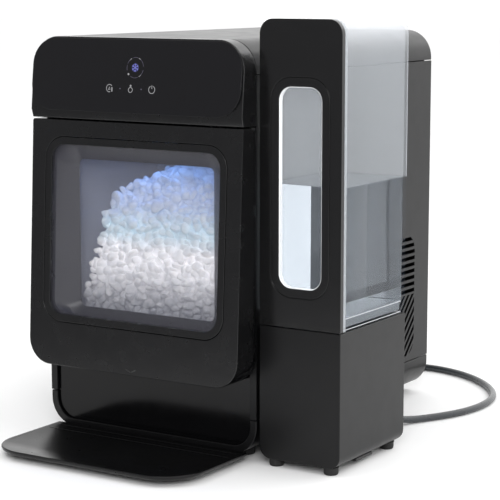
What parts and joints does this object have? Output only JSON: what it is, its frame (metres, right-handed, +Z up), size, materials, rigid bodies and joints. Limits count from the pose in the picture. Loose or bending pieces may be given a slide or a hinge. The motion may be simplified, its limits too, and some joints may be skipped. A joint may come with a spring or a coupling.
{
  "type": "countertop nugget ice maker",
  "caption": "Countertop nugget ice maker with a pull-out windowed ice drawer, a lift-off side water tank joined by a rear hose, a sloped touch head and a drip tray.",
  "frame": {"origin": "centre of the bounding box's base, on the worktop, hose left out", "axes": "+Z up, the front faces -Y, the water tank stands on the +X side"},
  "size_m": [0.3456, 0.5861, 0.4305],
  "materials": {
    "shell": "fine satin",
    "face": "semi-gloss",
    "panel_glass": "gloss black glass",
    "clear_glass": "clear",
    "smoked": "smoked translucent",
    "clear_bin": "clear translucent",
    "white_plastic": "satin",
    "grey_plastic": "satin",
    "dark_plastic": "satin",
    "rubber": "matte",
    "silicone": "matte",
    "steel": "brushed",
    "copper": "drawn copper",
    "fins": "bare fins",
    "black_steel": "satin black",
    "board": "solder mask green",
    "hose": "smooth soft tube",
    "lamp": "frosted lens"
  },
  "bodies": {
    "cabinet": {"base_pan": "shell", "side_panel_left": "shell", "side_panel_right": "shell", "top_cover": "shell", "front_panel": "face", "rear_panel": "shell", "power_inlet": "dark_plastic", "cabinet_hose_port": "grey_plastic", "foot_1": "rubber", "foot_2": "rubber", "foot_3": "rubber", "foot_4": "rubber", "tank_foot_1": "rubber", "tank_foot_2": "rubber", "tank_foot_3": "rubber", "tank_foot_4": "rubber", "head_housing": "face", "control_panel": "panel_glass", "control_board": "board", "bay_liner": "white_plastic", "drawer_rail_left": "steel", "drawer_rail_right": "steel", "bay_lamp": "lamp", "evaporator_barrel": "steel", "gear_motor": "steel", "ice_chute": "white_plastic", "water_reservoir": "white_plastic", "inlet_tube": "silicone", "compressor": "black_steel", "condenser": "fins", "fan_shroud": "dark_plastic", "fan_motor": "dark_plastic", "discharge_line": "copper", "board_shelf": "grey_plastic", "main_board": "board", "tank_base": "shell", "pump_cover": "dark_plastic", "dock_cup": "grey_plastic", "transfer_pump": "dark_plastic", "tank_hose_port": "grey_plastic", "water_hose": "hose"},
    "drawer": {"drawer_front": "face", "window_bezel": "face", "window_glass": "clear_glass", "window_reveal": "grey_plastic", "inner_pane": "clear_glass", "drawer_gasket": "silicone", "ice_bin": "clear_bin", "drawer_carriage": "grey_plastic"},
    "tray": {"drip_tray": "face"},
    "auger_screw": {"auger": "steel"},
    "fan_wheel": {"fan": "dark_plastic"},
    "drain_stopper": {"drain_plug": "rubber"},
    "tank": {"tank_vessel": "smoked", "tank_front_panel": "panel_glass", "sight_window": "clear_glass", "tank_cap": "dark_plastic"},
    "plunger": {"valve_plunger": "grey_plastic"}
  },
  "joints": [
    {"name": "drawer_slide", "type": "slide", "parent": "cabinet", "child": "drawer", "axis": [0, -1, 0], "range_m": [0, 0.15]},
    {"name": "tray_slide", "type": "slide", "parent": "cabinet", "child": "tray", "axis": [0, -1, 0], "range_m": [0, 0.065]},
    {"name": "auger_spin", "type": "hinge", "parent": "cabinet", "child": "auger_screw", "pos_m": [-0.0862, 0.089, 0.0755], "axis": [0, 0, 1], "continuous": true},
    {"name": "fan_spin", "type": "hinge", "parent": "cabinet", "child": "fan_wheel", "pos_m": [-0.1122, 0.1772, 0.12], "axis": [0, 1, 0], "continuous": true},
    {"name": "drain_pull", "type": "slide", "parent": "cabinet", "child": "drain_stopper", "axis": [0, 1, 0], "range_m": [0, 0.02]},
    {"name": "tank_lift", "type": "slide", "parent": "cabinet", "child": "tank", "axis": [0, 0, 1], "range_m": [0, 0.06]},
    {"name": "plunger_push", "type": "slide", "parent": "tank", "child": "plunger", "axis": [0, 0, 1], "range_m": [0, 0.004], "stiffness_N_per_m": 200}
  ]
}
